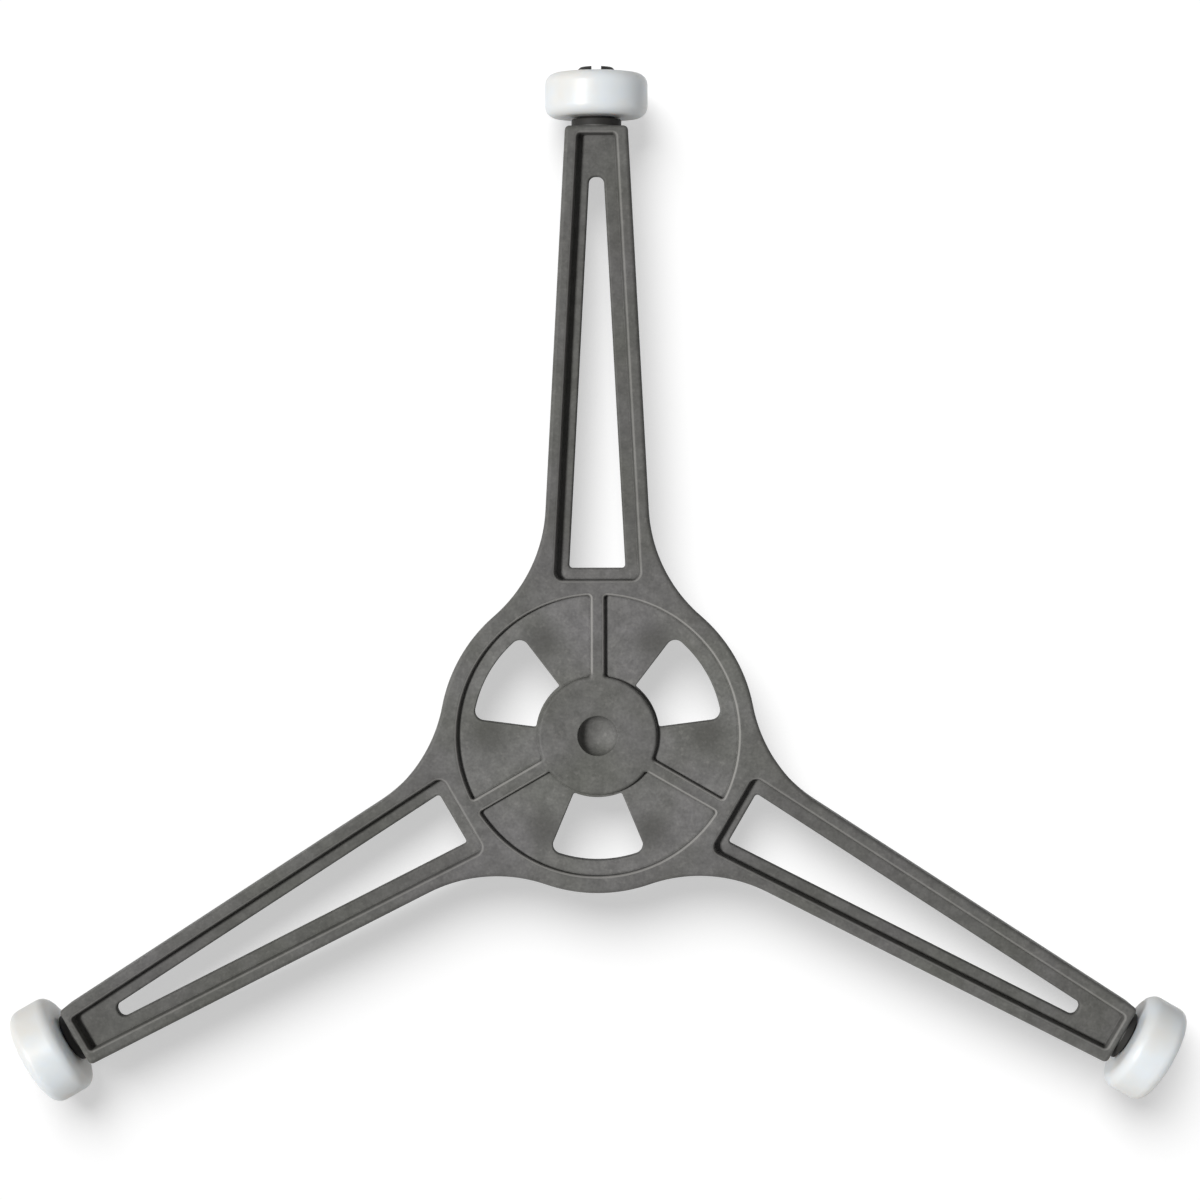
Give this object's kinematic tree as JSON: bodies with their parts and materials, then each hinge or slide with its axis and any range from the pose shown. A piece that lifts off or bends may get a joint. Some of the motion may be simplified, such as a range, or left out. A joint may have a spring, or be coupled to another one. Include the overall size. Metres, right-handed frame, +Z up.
{
  "type": "microwave turntable roller support",
  "caption": "Three-arm moulded roller support that carries and turns a microwave oven's glass tray, with a white roller spinning on a snap axle at each arm end.",
  "frame": {"origin": "on the hub axis, at the level of the oven floor that the rollers run on", "axes": "+Z up along the hub axis, +Y along the back arm"},
  "size_m": [0.1622, 0.1418, 0.014],
  "materials": {
    "frame_plastic": "dark grey heat-resistant moulded plastic, fine matt texture",
    "roller_plastic": "white waxy moulded plastic, satin"
  },
  "bodies": {
    "frame": {"spider_frame": "frame_plastic"},
    "back_roller": {"roller_back": "roller_plastic"},
    "left_roller": {"roller_left": "roller_plastic"},
    "right_roller": {"roller_right": "roller_plastic"}
  },
  "joints": [
    {"name": "back_roller_spin", "type": "hinge", "parent": "frame", "child": "back_roller", "pos_m": [0, 0.0873, 0.007], "axis": [0, 1, 0], "continuous": true},
    {"name": "left_roller_spin", "type": "hinge", "parent": "frame", "child": "left_roller", "pos_m": [-0.0756, -0.04365, 0.007], "axis": [-0.866, -0.5, 0], "continuous": true},
    {"name": "right_roller_spin", "type": "hinge", "parent": "frame", "child": "right_roller", "pos_m": [0.0756, -0.04365, 0.007], "axis": [0.866, -0.5, 0], "continuous": true}
  ]
}
